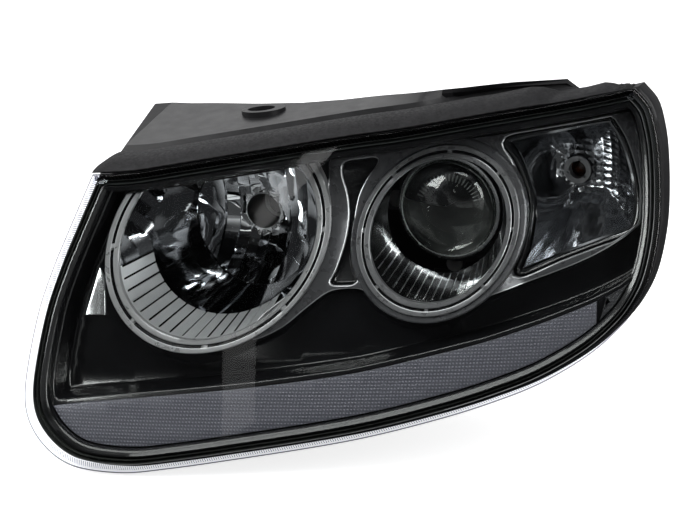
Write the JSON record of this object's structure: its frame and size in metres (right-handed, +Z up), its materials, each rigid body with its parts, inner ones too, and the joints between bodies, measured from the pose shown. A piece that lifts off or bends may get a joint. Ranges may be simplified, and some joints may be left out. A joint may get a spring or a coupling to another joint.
{
  "type": "car headlight assembly",
  "caption": "Left-hand car headlight: clear raked cover over a black bezel, a round high-beam reflector, a projector low beam, a turn-signal bowl and a dotted lower strip.",
  "frame": {"origin": "middle of the lamp's bounding box", "axes": "+X outboard (towards the car's side), -Y the way the lamp shines, +Z up"},
  "size_m": [0.4038, 0.322, 0.2542],
  "materials": {
    "housing_black": "satin moulded polypropylene",
    "gloss_black": "gloss",
    "grey_trim": "satin grey paint",
    "clear_lens": "clear polycarbonate",
    "clear_glass": "clear",
    "amber_glass": "clear amber",
    "chrome": "vacuum metallised",
    "satin_metal": "satin metallised",
    "dark_metal": "dark satin",
    "metal_shell": "cast",
    "dotted_grey": "fine dotted texture",
    "foam": "matt foam",
    "rubber": "matt",
    "white_plastic": "satin acetal",
    "steel": "zinc plated"
  },
  "bodies": {
    "housing_body": {"bezel": "gloss_black", "breather_cap_1": "rubber", "breather_cap_2": "rubber", "fixing_sleeve_1": "steel", "fixing_sleeve_2": "steel", "high_beam_cone": "satin_metal", "high_cap_seal": "rubber", "horizontal_bush": "rubber", "housing": "housing_black", "lens_seal": "rubber", "low_beam_cone": "dark_metal", "low_cap_seal": "rubber", "lower_strip": "dotted_grey", "main_connector": "housing_black", "outer_lens": "clear_lens", "ring_trim": "grey_trim", "top_weatherstrip": "foam", "turn_reflector": "chrome", "turn_socket_ring": "grey_trim", "vertical_bush": "rubber"},
    "pivot_body": {"aim_pivot": "white_plastic"},
    "carrier_body": {"carrier": "housing_black", "cutoff_shield": "dark_metal", "high_beam_reflector": "chrome", "high_bulb_seat": "steel", "high_optic_screw_1": "steel", "high_optic_screw_2": "steel", "high_optic_screw_3": "steel", "low_bulb_seat": "steel", "projector_barrel": "dark_metal", "projector_lens": "clear_glass", "projector_lens_ring": "satin_metal", "projector_reflector": "metal_shell", "projector_screw_1": "steel", "projector_screw_2": "steel", "projector_screw_3": "steel"},
    "horizontal_screw_body": {"horizontal_screw": "steel"},
    "vertical_screw_body": {"vertical_screw": "steel"},
    "horizontal_knob_body": {"horizontal_knob": "white_plastic"},
    "vertical_knob_body": {"vertical_knob": "white_plastic"},
    "high_cap_body": {"high_beam_cap": "housing_black"},
    "low_cap_body": {"low_beam_cap": "housing_black"},
    "turn_holder_body": {"turn_bulb_holder": "housing_black", "turn_bulb": "amber_glass"}
  },
  "joints": [
    {"name": "horizontal_aim", "type": "hinge", "parent": "housing_body", "child": "pivot_body", "pos_m": [-0.01654, 0.0644, 0.04891], "axis": [0, 0, 1], "range_deg": [-1, 1]},
    {"name": "vertical_aim", "type": "hinge", "parent": "pivot_body", "child": "carrier_body", "pos_m": [-0.01654, 0.0644, 0.04891], "axis": [1, 0, 0], "range_deg": [-1.5, 1.5]},
    {"name": "horizontal_screw_travel", "type": "slide", "parent": "housing_body", "child": "horizontal_screw_body", "axis": [0, 1, 0], "range_m": [-0.0022, 0.0022]},
    {"name": "vertical_screw_travel", "type": "slide", "parent": "housing_body", "child": "vertical_screw_body", "axis": [0, 1, 0], "range_m": [-0.00275, 0.00275]},
    {"name": "horizontal_knob_turn", "type": "hinge", "parent": "housing_body", "child": "horizontal_knob_body", "pos_m": [-0.14254, 0.08244, 0.04891], "axis": [0, 1, 0], "range_deg": [-198, 198]},
    {"name": "vertical_knob_turn", "type": "hinge", "parent": "housing_body", "child": "vertical_knob_body", "pos_m": [-0.01654, 0.11016, -0.05609], "axis": [0, 1, 0], "range_deg": [-248, 248]},
    {"name": "high_cap_twist", "type": "hinge", "parent": "housing_body", "child": "high_cap_body", "pos_m": [-0.09104, 0.1104, 0.02441], "axis": [0, 1, 0], "range_deg": [0, 45]},
    {"name": "low_cap_twist", "type": "hinge", "parent": "housing_body", "child": "low_cap_body", "pos_m": [0.05066, 0.1444, 0.03761], "axis": [0, 1, 0], "range_deg": [0, 45]},
    {"name": "turn_holder_twist", "type": "hinge", "parent": "housing_body", "child": "turn_holder_body", "pos_m": [0.12746, 0.1514, 0.05741], "axis": [0, 1, 0], "range_deg": [0, 45]}
  ],
  "couplings": [
    {"joint": "horizontal_screw_travel", "follows": "horizontal_aim", "m_per_rad": -0.126},
    {"joint": "vertical_screw_travel", "follows": "vertical_aim", "m_per_rad": 0.105},
    {"joint": "horizontal_knob_turn", "follows": "horizontal_aim", "ratio": -197.92},
    {"joint": "vertical_knob_turn", "follows": "vertical_aim", "ratio": 164.93}
  ]
}
